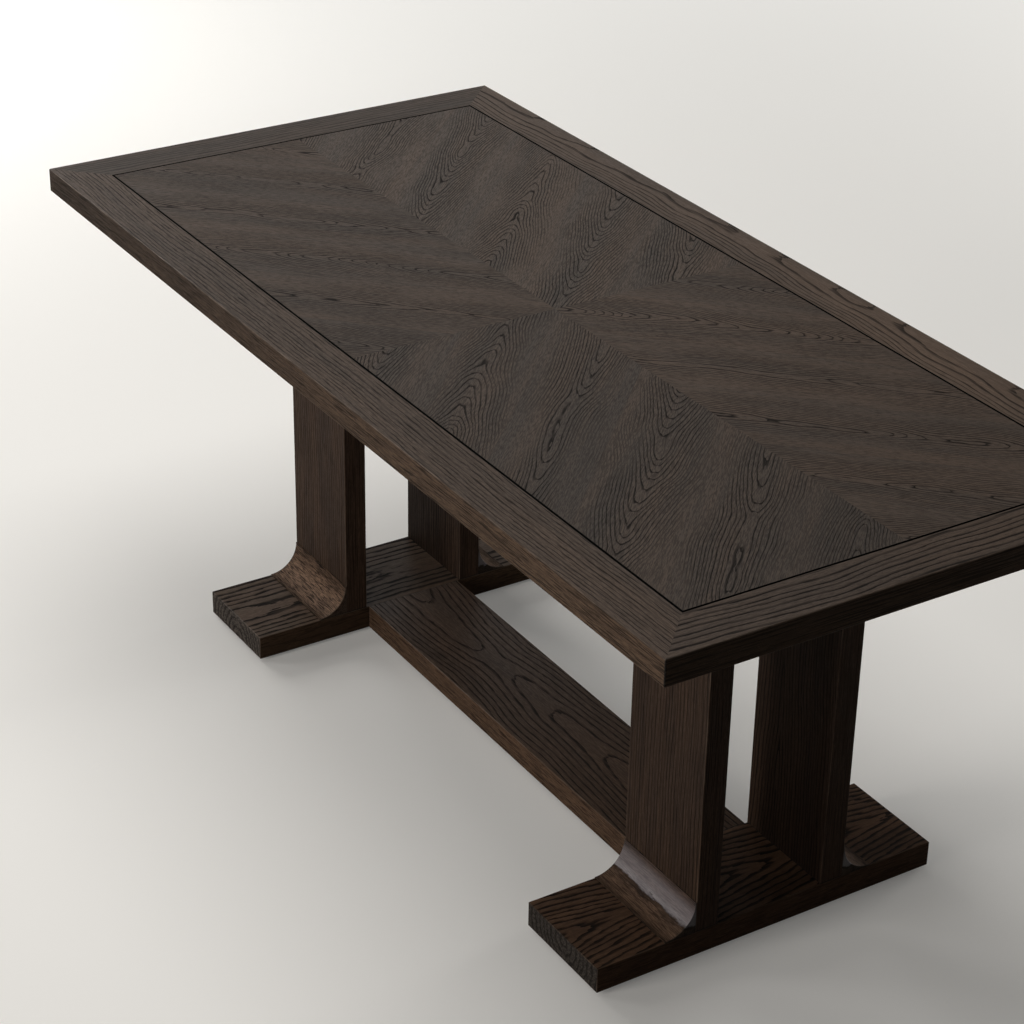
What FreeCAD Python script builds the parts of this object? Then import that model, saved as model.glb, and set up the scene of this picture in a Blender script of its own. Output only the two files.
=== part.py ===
import FreeCAD
import Part

import math
import os

# Trestle dining table in smoked oak: a mitred border round a veneered field, carried on two trestles
# that one low stretcher joins. Millimetres, +Z up, origin on the floor under the middle of the top.
# +X runs along the table to the right end, +Y across it to the back.

# Whole table
table_height = 762.0
top_length = 1829.0
top_width = 864.0
top_thickness = 40.0
top_ease = 2.0
fit_clearance = 0.1
cut_overrun = 5.0

# Border and the groove inside it
rail_width = 80.0
groove_width = 3.0
groove_depth = 3.0
spline_thickness = 4.0
spline_length = 60.0
spline_width = 32.0
tongue_thickness = 6.0
tongue_width = 20.0
tongue_end_gap = 30.0

# Veneered panel
veneer_thickness = 1.0
backing_thickness = 1.0
leaf_width = 147.0
back_leaf_shift = 5.0
front_leaf_shift = 55.0

# Trestles and stretcher
trestle_setback = 391.5
post_width = 184.0
post_thickness = 40.0
post_gap = 188.0
foot_length = 606.0
foot_thickness = 42.0
floor_gap = 5.0
cove_radius = 51.0
cove_land = 1.5
cove_ease_share = 0.6
stretcher_width = 180.0
bearer_width = 160.0
bearer_height = 45.0
base_ease = 1.2

# Dowels
dowel_radius = 6.0
dowel_length = 60.0
bearer_dowel_radius = 5.0
bearer_dowel_length = 50.0
dowel_end_gap = 0.5
post_dowel_shares = (-0.38, 0, 0.38)
stretcher_dowel_shares = (-0.33, 0.33)
bearer_dowel_shares = (-0.3, 0, 0.3)

# Long screws that hold the posts to the feet
post_screw_radius = 4.0
post_screw_length = 110.0
post_screw_flats = 13.0
post_screw_head_height = 5.5
washer_radius = 9.0
washer_thickness = 1.6
counterbore_radius = 10.0
counterbore_depth = 12.0
post_screw_shares = (-0.2, 0.2)

# Bolts that hold the top to the bearers
top_bolt_radius = 4.0
top_bolt_reach = 18.0
top_bolt_head_radius = 9.0
top_bolt_head_height = 3.0
bolt_hole_clearance = 0.5
top_insert_radius = 6.5
top_insert_length = 20.0
top_bolt_x_shares = (-0.3, 0.3)
top_bolt_y_shares = (-0.25, 0.25)

# Steel plates let in under the feet and the stretcher
plate_length = 140.0
plate_width = 110.0
plate_thickness = 4.0
plate_corner_radius = 8.0
plate_screw_radius = 2.5
plate_screw_length = 30.0
plate_screw_head_radius = 5.0
plate_screw_head_height = 2.6
plate_screw_x_shares = (-0.38, -0.18, 0.18, 0.38)
plate_screw_y_shares = (-0.35, 0.35)

# Screw levellers
leveller_inset = 42.0
leveller_travel = 12.0
leveller_grip = 15.5
pad_radius = 15.0
pad_height = 4.4
pad_bevel = 0.8
pad_floor = 1.5
stem_radius = 4.0
stem_button_radius = 5.0
stem_collar_flats = 13.0
stem_collar_height = 5.0
stem_collar_gap = 0.8
running_clearance = 0.08
leveller_recess_radius = 11.0
leveller_recess_depth = 7.0
leveller_insert_radius = 7.0
leveller_insert_length = 20.0
leveller_hole_clearance = 1.0

# Levels and places that follow from the sizes above
top_underside = table_height - top_thickness
core_underside = top_underside + backing_thickness
core_top = table_height - veneer_thickness
core_middle = (core_underside + core_top) / 2
core_length = top_length - 2 * rail_width
core_width = top_width - 2 * rail_width
field_length = core_length - 2 * groove_width
field_width = core_width - 2 * groove_width
foot_top = floor_gap + foot_thickness
foot_middle = floor_gap + foot_thickness / 2
post_row = (post_gap + post_thickness) / 2
post_back = post_gap / 2 + post_thickness
trestle_place = top_length / 2 - trestle_setback
stretcher_length = 2 * trestle_place - post_width
bearer_underside = top_underside - bearer_height
screw_seat = floor_gap + counterbore_depth
leveller_row = foot_length / 2 - leveller_inset

SIDES = (("left", -1), ("right", 1))
FACES = (("front", -1), ("back", 1))
UP = FreeCAD.Vector(0, 0, 1)


def block(size, centre, bottom):
    """A box of (x, y, z) size, centred on (x, y), standing on the level bottom."""
    corner = FreeCAD.Vector(centre[0] - size[0] / 2, centre[1] - size[1] / 2, bottom)
    return Part.makeBox(size[0], size[1], size[2], corner)


def prism(points, bottom, top):
    """An upright solid between two levels on the outline that the (x, y) points give."""
    outline = [FreeCAD.Vector(x, y, bottom) for x, y in points]
    wire = Part.makePolygon(outline + outline[:1])
    return Part.Face(wire).extrude(FreeCAD.Vector(0, 0, top - bottom))


def upright(radius, place, bottom, top):
    """A round bar that stands at the (x, y) place between two levels."""
    return Part.makeCylinder(radius, top - bottom, FreeCAD.Vector(place[0], place[1], bottom), UP)


def lying(radius, middle, length, along):
    """A round bar of a given length that lies along an axis, with its middle at a point."""
    direction = FreeCAD.Vector(*along)
    start = FreeCAD.Vector(*middle) - direction * (length / 2)
    return Part.makeCylinder(radius, length, start, direction)


def hexagon(flats, place, bottom, top):
    """A six-sided bar with a given width across its flats."""
    corner = flats / math.sqrt(3)
    points = []
    for step in range(6):
        turn = step * math.pi / 3
        points.append((place[0] + corner * math.cos(turn), place[1] + corner * math.sin(turn)))
    return prism(points, bottom, top)


def edges_along(solid, axis):
    """The straight edges of a solid that run along a row axis."""
    found = []
    for edge in solid.Edges:
        ends = [vertex.Point for vertex in edge.Vertexes]
        if len(ends) == 2 and abs(abs((ends[1] - ends[0]).normalize().dot(axis)) - 1) < 1e-6:
            found.append(edge)
    return found


def drilled(solid, tools):
    """The solid with every tool taken away."""
    return solid.cut(tools) if tools else solid


def quarter_turns():
    """The four corners of the top or of the base, with their names and signs."""
    for side, x_sign in SIDES:
        for face, y_sign in FACES:
            yield f"{side}_{face}", x_sign, y_sign


# Border rails, cut from one eased ring by the mitre planes
def border_ring():
    outer = block((top_length, top_width, top_thickness), (0, 0), top_underside)
    outer = outer.makeFillet(top_ease, outer.Edges)
    size = (core_length, core_width, top_thickness + 2 * cut_overrun)
    return outer.cut(block(size, (0, 0), top_underside - cut_overrun))


def rail_wedge(along_x, sign):
    """The space of one rail: its sides lie on the two mitre planes."""
    outer = cut_overrun
    inner = rail_width + cut_overrun
    long_half = (top_length if along_x else top_width) / 2
    cross_half = (top_width if along_x else top_length) / 2
    points = [
        (-long_half - outer, sign * (cross_half + outer)),
        (long_half + outer, sign * (cross_half + outer)),
        (long_half - inner, sign * (cross_half - inner)),
        (-long_half + inner, sign * (cross_half - inner)),
    ]
    if not along_x:
        points = [(y, x) for x, y in points]
    return prism(points, top_underside - cut_overrun, table_height + cut_overrun)


def mitre_spline(x_sign, y_sign, clearance):
    """A loose spline across one mitre, or its slot when a clearance is given."""
    middle = (x_sign * (top_length - rail_width) / 2, y_sign * (top_width - rail_width) / 2)
    size = (spline_length + 2 * clearance, spline_width + 2 * clearance, spline_thickness + 2 * clearance)
    spline = block(size, (0, 0), core_middle - size[2] / 2)
    spline.rotate(FreeCAD.Vector(0, 0, 0), UP, math.degrees(math.atan2(y_sign, x_sign)))
    spline.translate(FreeCAD.Vector(middle[0], middle[1], 0))
    return spline


def panel_tongue(along_x, sign, clearance):
    """A loose tongue between the core and one rail, or its slot when a clearance is given."""
    long_size = (core_length if along_x else core_width) - 2 * tongue_end_gap + 2 * clearance
    cross_size = tongue_width + 2 * clearance
    thick = tongue_thickness + 2 * clearance
    if along_x:
        return block((long_size, cross_size, thick), (0, sign * core_width / 2), core_middle - thick / 2)
    return block((cross_size, long_size, thick), (sign * core_length / 2, 0), core_middle - thick / 2)


def all_splines(clearance):
    return [mitre_spline(x_sign, y_sign, clearance) for _, x_sign, y_sign in quarter_turns()]


def all_tongues(clearance):
    return [panel_tongue(along_x, sign, clearance) for along_x in (True, False) for sign in (-1, 1)]


def border_rails():
    ring = border_ring()
    slots = all_splines(fit_clearance) + all_tongues(fit_clearance)
    places = {
        "long_rail_front": (True, -1),
        "long_rail_back": (True, 1),
        "end_rail_left": (False, -1),
        "end_rail_right": (False, 1),
    }
    return {name: drilled(ring.common(rail_wedge(*place)), slots) for name, place in places.items()}


# Veneered panel: core, backing and the matched leaves of the field
def top_bolt_places():
    for _, x_sign in SIDES:
        for x_share in top_bolt_x_shares:
            for y_share in top_bolt_y_shares:
                yield x_sign * trestle_place + x_share * bearer_width, y_share * post_gap


def insert_holes():
    radius = top_insert_radius + fit_clearance
    top = core_underside + top_insert_length + fit_clearance
    return [upright(radius, place, top_underside - cut_overrun, top) for place in top_bolt_places()]


def panel_core():
    lower_height = table_height - groove_depth - core_underside
    lower = block((core_length, core_width, lower_height), (0, 0), core_underside)
    upper = block((field_length, field_width, core_top - core_underside), (0, 0), core_underside)
    whole = lower.fuse(upper).removeSplitter()
    return drilled(whole, all_tongues(fit_clearance) + insert_holes())


def panel_backing():
    sheet = block((core_length, core_width, backing_thickness), (0, 0), top_underside)
    return drilled(sheet, insert_holes())


def veneer_quarter(x_sign, y_sign):
    """The leaves of one quarter of the field. Their seams run at 45 degrees, out from the centre."""
    length = field_length / 2
    width = field_width / 2
    shift = back_leaf_shift if y_sign > 0 else front_leaf_shift
    step = leaf_width * math.sqrt(2)
    first = math.floor((-length - shift * math.sqrt(2)) / step)
    last = math.ceil((width - shift * math.sqrt(2)) / step)
    quarter = block((length, width, veneer_thickness), (x_sign * length / 2, y_sign * width / 2), core_top)
    leaves = []
    for number in range(first, last + 1):
        low = shift * math.sqrt(2) + (number - 0.5) * step
        high = low + step
        strip = [(0, low), (length, length + low), (length, length + high), (0, high)]
        strip = [(x_sign * x, y_sign * y) for x, y in strip]
        leaf = quarter.common(prism(strip, core_top - cut_overrun, table_height + cut_overrun))
        leaves.extend(leaf.Solids)
    return leaves


# Trestles
def post_places(x_sign):
    """Centre of each post of one trestle."""
    return [(x_sign * trestle_place, y_sign * post_row) for _, y_sign in FACES]


def post_dowel_places(x_sign):
    for x, y in post_places(x_sign):
        for share in post_dowel_shares:
            yield x + share * post_width, y


def post_screw_places(x_sign):
    for x, y in post_places(x_sign):
        for share in post_screw_shares:
            yield x + share * post_width, y


def leveller_places(x_sign):
    return [(x_sign * trestle_place, y_sign * leveller_row) for _, y_sign in FACES]


def post_dowels(x_sign, clearance, end_gap):
    half = dowel_length / 2 + end_gap
    radius = dowel_radius + clearance
    return [upright(radius, place, foot_top - half, foot_top + half) for place in post_dowel_places(x_sign)]


def bearer_dowels(x_sign, clearance, end_gap):
    length = bearer_dowel_length + 2 * end_gap
    level = bearer_underside + bearer_height / 2
    dowels = []
    for share in bearer_dowel_shares:
        for _, y_sign in FACES:
            middle = (x_sign * trestle_place + share * bearer_width, y_sign * post_gap / 2, level)
            dowels.append(lying(bearer_dowel_radius + clearance, middle, length, (0, 1, 0)))
    return dowels


def stretcher_dowels(x_sign, clearance, end_gap):
    length = dowel_length + 2 * end_gap
    dowels = []
    for share in stretcher_dowel_shares:
        middle = (x_sign * stretcher_length / 2, share * stretcher_width, foot_middle)
        dowels.append(lying(dowel_radius + clearance, middle, length, (1, 0, 0)))
    return dowels


def post_screw_shanks(x_sign, clearance):
    top = screw_seat + post_screw_length
    radius = post_screw_radius + clearance
    return [upright(radius, place, screw_seat, top + clearance) for place in post_screw_places(x_sign)]


def post(x_sign, y_sign):
    size = (post_width, post_thickness, top_underside - foot_top)
    slab = block(size, (x_sign * trestle_place, y_sign * post_row), foot_top)
    slab = slab.makeFillet(base_ease, edges_along(slab, UP))
    holes = post_dowels(x_sign, fit_clearance, dowel_end_gap)
    holes += bearer_dowels(x_sign, fit_clearance, dowel_end_gap)
    holes += post_screw_shanks(x_sign, fit_clearance)
    return drilled(slab, holes)


def cove(x_sign, y_sign):
    """Quarter-round hollow block between a post's outer face and the foot."""
    reach = cove_land + cove_radius
    start = x_sign * trestle_place - post_width / 2

    def point(out, up):
        return FreeCAD.Vector(start, y_sign * (post_back + out), foot_top + up)

    middle = reach - cove_radius * math.sqrt(0.5)
    edges = [
        Part.LineSegment(point(0, 0), point(0, reach)).toShape(),
        Part.LineSegment(point(0, reach), point(cove_land, reach)).toShape(),
        Part.Arc(point(cove_land, reach), point(middle, middle), point(reach, cove_land)).toShape(),
        Part.LineSegment(point(reach, cove_land), point(reach, 0)).toShape(),
        Part.LineSegment(point(reach, 0), point(0, 0)).toShape(),
    ]
    block_solid = Part.Face(Part.Wire(edges)).extrude(FreeCAD.Vector(post_width, 0, 0))
    curved = [edge for edge in block_solid.Edges if isinstance(edge.Curve, Part.Circle)]
    return block_solid.makeFillet(min(base_ease, cove_land * cove_ease_share), curved)


def foot(x_sign):
    bar = block((post_width, foot_length, foot_thickness), (x_sign * trestle_place, 0), floor_gap)
    bar = bar.makeFillet(base_ease, bar.Edges)
    holes = post_dowels(x_sign, fit_clearance, dowel_end_gap)
    holes += stretcher_dowels(x_sign, fit_clearance, dowel_end_gap)
    holes += post_screw_shanks(x_sign, bolt_hole_clearance)
    below = floor_gap - cut_overrun
    holes += [upright(counterbore_radius, place, below, screw_seat) for place in post_screw_places(x_sign)]
    holes += leveller_holes(x_sign)
    holes += [plate_blank(x_sign, fit_clearance)] + plate_screw_shanks(x_sign, fit_clearance)
    return drilled(bar, holes)


def stretcher():
    board = block((stretcher_length, stretcher_width, foot_thickness), (0, 0), floor_gap)
    board = board.makeFillet(base_ease, edges_along(board, FreeCAD.Vector(1, 0, 0)))
    holes = []
    for _, x_sign in SIDES:
        holes += stretcher_dowels(x_sign, fit_clearance, dowel_end_gap)
        holes += [plate_blank(x_sign, fit_clearance)] + plate_screw_shanks(x_sign, fit_clearance)
    return drilled(board, holes)


def bearer(x_sign):
    """Cross block between the tops of a trestle's posts."""
    cross = block((bearer_width, post_gap, bearer_height), (x_sign * trestle_place, 0), bearer_underside)
    across = edges_along(cross, FreeCAD.Vector(0, 1, 0))
    cross = cross.makeFillet(base_ease, [edge for edge in across if edge.BoundBox.ZMax < top_underside])
    holes = bearer_dowels(x_sign, fit_clearance, dowel_end_gap)
    radius = top_bolt_radius + bolt_hole_clearance
    low = bearer_underside - cut_overrun
    holes += [upright(radius, place, low, top_underside + cut_overrun) for place in top_bolt_places()]
    return drilled(cross, holes)


# Screws, bolts, inserts and plates
def post_screw(place):
    head_top = screw_seat - washer_thickness
    head = hexagon(post_screw_flats, place, head_top - post_screw_head_height, head_top)
    shank = upright(post_screw_radius, place, head_top, screw_seat + post_screw_length)
    return head.fuse(shank).removeSplitter()


def post_washer(place):
    low = screw_seat - washer_thickness
    hole_radius = post_screw_radius + bolt_hole_clearance
    disc = upright(washer_radius, place, low, screw_seat)
    return disc.cut(upright(hole_radius, place, low - cut_overrun, screw_seat + cut_overrun))


def top_bolt(place):
    head = upright(top_bolt_head_radius, place, bearer_underside - top_bolt_head_height, bearer_underside)
    shank = upright(top_bolt_radius, place, bearer_underside, core_underside + top_bolt_reach)
    return head.fuse(shank).removeSplitter()


def top_insert(place):
    top = core_underside + top_insert_length
    sleeve = upright(top_insert_radius, place, core_underside, top)
    bore = upright(top_bolt_radius + fit_clearance, place, core_underside - cut_overrun, top + cut_overrun)
    return sleeve.cut(bore)


def plate_blank(x_sign, clearance):
    """A joining plate across the joint of foot and stretcher, or its recess when a clearance is given."""
    size = (plate_length + 2 * clearance, plate_width + 2 * clearance, plate_thickness)
    blank = block(size, (x_sign * stretcher_length / 2, 0), floor_gap)
    return blank.makeFillet(plate_corner_radius + clearance, edges_along(blank, UP))


def plate_screw_places(x_sign):
    for x_share in plate_screw_x_shares:
        for y_share in plate_screw_y_shares:
            yield x_sign * stretcher_length / 2 + x_share * plate_length, y_share * plate_width


def plate_screw(place, clearance):
    """A countersunk screw with its head flush under the plate, or its hole when a clearance is given."""
    head_radius = plate_screw_head_radius + clearance
    shank_radius = plate_screw_radius + clearance
    at = FreeCAD.Vector(place[0], place[1], floor_gap)
    head = Part.makeCone(head_radius, shank_radius, plate_screw_head_height, at, UP)
    return head.fuse(plate_screw_shank(place, clearance)).removeSplitter()


def plate_screw_shank(place, clearance):
    radius = plate_screw_radius + clearance
    return upright(radius, place, floor_gap, floor_gap + plate_screw_length + clearance)


def plate_screw_shanks(x_sign, clearance):
    return [plate_screw_shank(place, clearance) for place in plate_screw_places(x_sign)]


def joining_plate(x_sign):
    holes = [plate_screw(place, fit_clearance) for place in plate_screw_places(x_sign)]
    return drilled(plate_blank(x_sign, 0), holes)


# Screw levellers
def leveller_levels():
    """Levels of the recess top, the insert top and the stem's tip, with the stem screwed right in.

    Run out by its whole travel, the stem still has its grip in the insert.
    """
    recess_top = floor_gap + leveller_recess_depth
    return recess_top, recess_top + leveller_insert_length, recess_top + leveller_grip + leveller_travel


def leveller_holes(x_sign):
    recess_top, insert_top, tip = leveller_levels()
    hole_radius = stem_radius + leveller_hole_clearance
    holes = []
    for place in leveller_places(x_sign):
        holes.append(upright(leveller_recess_radius, place, floor_gap - cut_overrun, recess_top))
        holes.append(upright(leveller_insert_radius + fit_clearance, place, floor_gap, insert_top))
        holes.append(upright(hole_radius, place, floor_gap, tip + leveller_hole_clearance))
    return holes


def leveller_insert(place):
    recess_top, insert_top, _ = leveller_levels()
    sleeve = upright(leveller_insert_radius, place, recess_top, insert_top)
    bore = upright(stem_radius + running_clearance, place, recess_top - cut_overrun, insert_top + cut_overrun)
    return sleeve.cut(bore)


def leveller_stem(place):
    """Threaded stem with a hexagon collar above and a round button that turns in the pad."""
    tip = leveller_levels()[2]
    button = upright(stem_button_radius, place, pad_floor, pad_height)
    rod = upright(stem_radius, place, pad_floor, tip)
    collar_low = floor_gap + stem_collar_gap
    collar = hexagon(stem_collar_flats, place, collar_low, collar_low + stem_collar_height)
    return button.fuse([rod, collar]).removeSplitter()


def leveller_pad(place):
    disc = upright(pad_radius, place, 0, pad_height)
    disc = disc.makeChamfer(pad_bevel, [edge for edge in disc.Edges if isinstance(edge.Curve, Part.Circle)])
    socket = upright(stem_button_radius + running_clearance, place, pad_floor, pad_height + cut_overrun)
    return disc.cut(socket)


def both_trestles(maker, *values):
    """The pieces that a maker gives for the left and the right trestle, in one list."""
    pieces = []
    for _, x_sign in SIDES:
        pieces += list(maker(x_sign, *values))
    return pieces


def all_pieces():
    """Every node of the table with its solids."""
    pieces = border_rails()
    pieces["mitre_splines"] = all_splines(0)
    pieces["panel_tongues"] = all_tongues(0)
    pieces["panel_core"] = panel_core()
    pieces["panel_backing"] = panel_backing()
    for side, x_sign in SIDES:
        for face, y_sign in FACES:
            pieces[f"veneer_{face}_{side}"] = veneer_quarter(x_sign, y_sign)
    for name, x_sign, y_sign in quarter_turns():
        pieces[f"post_{name}"] = post(x_sign, y_sign)
        pieces[f"cove_{name}"] = cove(x_sign, y_sign)
    for side, x_sign in SIDES:
        pieces[f"foot_{side}"] = foot(x_sign)
        pieces[f"bearer_{side}"] = bearer(x_sign)
        pieces[f"joining_plate_{side}"] = joining_plate(x_sign)
    pieces["stretcher"] = stretcher()
    pieces["post_dowels"] = both_trestles(post_dowels, 0, 0)
    pieces["bearer_dowels"] = both_trestles(bearer_dowels, 0, 0)
    pieces["stretcher_dowels"] = both_trestles(stretcher_dowels, 0, 0)
    pieces["post_screws"] = [post_screw(place) for place in both_trestles(post_screw_places)]
    pieces["post_washers"] = [post_washer(place) for place in both_trestles(post_screw_places)]
    pieces["plate_screws"] = [plate_screw(place, 0) for place in both_trestles(plate_screw_places)]
    pieces["top_bolts"] = [top_bolt(place) for place in top_bolt_places()]
    pieces["top_inserts"] = [top_insert(place) for place in top_bolt_places()]
    pieces["leveller_inserts"] = [leveller_insert(place) for place in both_trestles(leveller_places)]
    for name, x_sign, y_sign in quarter_turns():
        place = (x_sign * trestle_place, y_sign * leveller_row)
        pieces[f"leveller_stem_{name}"] = leveller_stem(place)
        pieces[f"leveller_pad_{name}"] = leveller_pad(place)
    return pieces


def write_piece(name, piece):
    """Writes one node, a single solid or a group of separate solids."""
    solids = piece if isinstance(piece, list) else piece.Solids
    shape = solids[0] if len(solids) == 1 else Part.makeCompound(solids)
    shape.exportStep(f"parts/{name}.step")
    print(f"{name}: {len(solids)} solids, {sum(solid.Volume for solid in solids) / 1000:.1f} cm3")


os.makedirs("parts", exist_ok=True)
for piece_name, piece_shape in all_pieces().items():
    write_piece(piece_name, piece_shape)
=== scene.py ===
"""Finishes and studio stage for a trestle dining table in smoked oak.

Every board keeps its modelled shape. The oak is a solid pattern: growth rings round a pith line that each
board is sawn from at its own place and lean, so flames, straight grain and end grain come from one recipe.
"""

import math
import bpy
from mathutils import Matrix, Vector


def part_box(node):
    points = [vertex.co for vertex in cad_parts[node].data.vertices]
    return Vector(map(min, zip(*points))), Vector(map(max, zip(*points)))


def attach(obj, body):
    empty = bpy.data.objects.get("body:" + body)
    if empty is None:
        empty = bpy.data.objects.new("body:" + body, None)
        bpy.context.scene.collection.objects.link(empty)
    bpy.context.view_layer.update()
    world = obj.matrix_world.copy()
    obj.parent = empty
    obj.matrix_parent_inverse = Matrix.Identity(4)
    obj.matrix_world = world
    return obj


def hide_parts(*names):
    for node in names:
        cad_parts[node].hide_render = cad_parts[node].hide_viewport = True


bl_info = {
    "name": "Smoked Oak Trestle Table",
    "version": (1, 0, 0),
    "blender": (4, 5, 0),
    "location": "View3D > Sidebar > Table",
    "description": "Finishes a trestle dining table in smoked oak and sets it on a plain studio stage",
    "category": "Object",
}

from dataclasses import dataclass, replace

import bmesh
import bpy
from mathutils import Matrix, Vector

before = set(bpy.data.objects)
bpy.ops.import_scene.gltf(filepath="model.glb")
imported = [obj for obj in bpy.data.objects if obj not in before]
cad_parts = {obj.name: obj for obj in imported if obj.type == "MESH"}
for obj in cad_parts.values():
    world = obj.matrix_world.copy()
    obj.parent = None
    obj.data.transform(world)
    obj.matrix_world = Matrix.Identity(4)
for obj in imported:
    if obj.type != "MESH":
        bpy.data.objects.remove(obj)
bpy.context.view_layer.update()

SIDES = ("left", "right")
FACES = ("front", "back")
CORNERS = [f"{side}_{face}" for side in SIDES for face in FACES]
ROOT_HALF = math.sqrt(0.5)

# Faces of the table that finishes change at, in metres
TOP_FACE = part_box("long_rail_front")[1].z
FOOT_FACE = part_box("foot_left")[1].z
TRESTLE_NEAR, TRESTLE_FAR = (corner.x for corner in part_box("post_right_front"))
TRESTLE_X = (TRESTLE_NEAR + TRESTLE_FAR) / 2
POST_HALF = (TRESTLE_FAR - TRESTLE_NEAR) / 2
STRETCHER_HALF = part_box("stretcher")[1].y

# Sockets of the colour mix node, which has several of one name
MIX_FACTOR, MIX_A, MIX_B, MIX_RESULT = 0, 6, 7, 2

# Where a seed puts a noise: its step along each axis, and where seed 0 starts
SEED_STEP = (17.3, 9.1, 5.3)
SEED_START = (0.0, 3.7, 1.9)
NOISE_GAIN = 4.0   # brings noise, which seldom leaves its middle half, to its full reach


class Field:
    """A number that changes over a surface: one output socket, with arithmetic that adds Math nodes."""

    def __init__(self, finish, socket):
        self.finish = finish
        self.socket = socket

    def math(self, operation, *values):
        return self.finish.node("ShaderNodeMath", {"operation": operation}, dict(enumerate(values)))

    def __add__(self, other):
        return self.math("ADD", self, other)

    __radd__ = __add__

    def __sub__(self, other):
        return self.math("SUBTRACT", self, other)

    def __rsub__(self, other):
        return self.math("SUBTRACT", other, self)

    def __mul__(self, other):
        return self.math("MULTIPLY", self, other)

    __rmul__ = __mul__

    def __truediv__(self, other):
        return self.math("DIVIDE", self, other)

    def __rtruediv__(self, other):
        return self.math("DIVIDE", other, self)

    def __pow__(self, power):
        return self.math("POWER", self, power)

    def __neg__(self):
        return self.math("MULTIPLY", self, -1.0)

    def __abs__(self):
        return self.math("ABSOLUTE", self)

    def least(self, other):
        return self.math("MINIMUM", self, other)

    def most(self, other):
        return self.math("MAXIMUM", self, other)

    def rise(self, low, high):
        """0 below low, 1 above high, and a soft step between. The step falls where high is below low."""
        ends = {"Value": self, "From Min": low, "From Max": high}
        return self.finish.node("ShaderNodeMapRange", {"interpolation_type": "SMOOTHSTEP"}, ends)

    def ramp(self, stops, interpolation="LINEAR"):
        """A grey ramp through (place, level) stops."""
        return self.finish.node("ShaderNodeValToRGB", {"stops": (stops, interpolation)}, {"Fac": self})


class Finish:
    """A material or a world in the making, with one method that adds any node."""

    def __init__(self, name, kind="materials"):
        self.owner = getattr(bpy.data, kind).new(name)
        self.owner.use_nodes = True
        self.tree = self.owner.node_tree
        self.tree.nodes.clear()

    def node(self, kind, settings=None, values=None, output=0):
        """Adds a node: its settings first, then the values or links of its sockets. Gives one output."""
        node = self.tree.nodes.new(kind)
        for key, setting in (settings or {}).items():
            if key == "stops":
                set_stops(node.color_ramp, *setting)
            else:
                setattr(node, key, setting)
        for key, value in (values or {}).items():
            if isinstance(value, Field):
                self.tree.links.new(value.socket, node.inputs[key])
            else:
                node.inputs[key].default_value = value
        return Field(self, node.outputs[output]) if node.outputs else None

    def place(self, coordinates="Object"):
        """The x, y and z of a point in the table's own frame, in metres, or in a world of a direction."""
        point = self.node("ShaderNodeTexCoord", output=coordinates)
        return [self.node("ShaderNodeSeparateXYZ", None, {0: point}, output=axis) for axis in range(3)]

    def vector(self, x, y, z):
        return self.node("ShaderNodeCombineXYZ", None, {0: x, 1: y, 2: z})

    def noise(self, point, size, seed, detail=2.0, rough=0.5):
        """Noise from 0 to 1 with features of the given size along each axis of the point."""
        scale = tuple(1.0 / length for length in size)
        shift = tuple(step * seed + start for step, start in zip(SEED_STEP, SEED_START))
        places = {0: point, 1: scale, 2: shift}
        stretched = self.node("ShaderNodeVectorMath", {"operation": "MULTIPLY_ADD"}, places)
        values = {"Vector": stretched, "Scale": 1.0, "Detail": detail, "Roughness": rough}
        return self.node("ShaderNodeTexNoise", {"noise_dimensions": "3D"}, values)

    def wander(self, point, size, seed, reach, detail=1.0):
        """A drift to both sides of 0, within about the reach."""
        return (self.noise(point, size, seed, detail) - 0.5) * (NOISE_GAIN * reach)

    def mix(self, amount, first, second, blend="MIX"):
        """A colour between two others, or the second laid on the first by a blend."""
        settings = {"data_type": "RGBA", "blend_type": blend}
        values = {MIX_FACTOR: amount, MIX_A: first, MIX_B: second}
        return self.node("ShaderNodeMix", settings, values, MIX_RESULT)

    def seen(self, mirrored=1.0):
        """1 where a ray comes from the camera, and otherwise 0. Mirrored is what a mirror or glass sees."""
        kinds = ("Is Camera Ray", "Is Glossy Ray", "Is Transmission Ray")
        camera, glossy, clear = (self.node("ShaderNodeLightPath", output=kind) for kind in kinds)
        return camera.most(glossy.most(clear) * mirrored)

    def surface(self, constants, clear=None, **varying):
        """Ends the material in one Principled shader, seen through where clear is 1."""
        fields = {key.replace("_", " "): field for key, field in varying.items()}
        shader = self.node("ShaderNodeBsdfPrincipled", None, {**constants, **fields})
        if clear is not None:
            empty = self.node("ShaderNodeBsdfTransparent")
            shader = self.node("ShaderNodeMixShader", None, {0: clear, 1: shader, 2: empty})
        self.node("ShaderNodeOutputMaterial", None, {"Surface": shader})
        return self.owner


def set_stops(ramp, stops, interpolation):
    """Puts (place, level) stops on a colour ramp."""
    ramp.interpolation = interpolation
    while len(ramp.elements) < len(stops):
        ramp.elements.new(1.0)
    for element, (place, level) in zip(ramp.elements, stops):
        element.position = place
        element.color = (level, level, level, 1.0)


def dress(name, material):
    """Gives a node of the frame its finish."""
    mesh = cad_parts[name].data
    mesh.materials.clear()
    mesh.materials.append(material)


# Sizes of the oak's features along, across and through a board, in metres
SWAY_WIDTH = 0.4
SWELL_WIDTH = 0.11
RAGGED_SIZE = (0.035, 0.007, 0.007)
FLAME_SIZE = (0.16, 0.05, 0.4)
FIBRE_SIZE = (0.09, 0.0026, 0.0026)
TONE_SIZE = (0.50, 0.045, 0.045)
SPECKLE_SIZE = (0.0035, 0.0035, 0.0035)
PATCH_SIZE = (0.05, 0.05, 0.05)
BREAK_WIDTH = 0.0030
PORE_WIDTH = 0.0012

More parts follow.
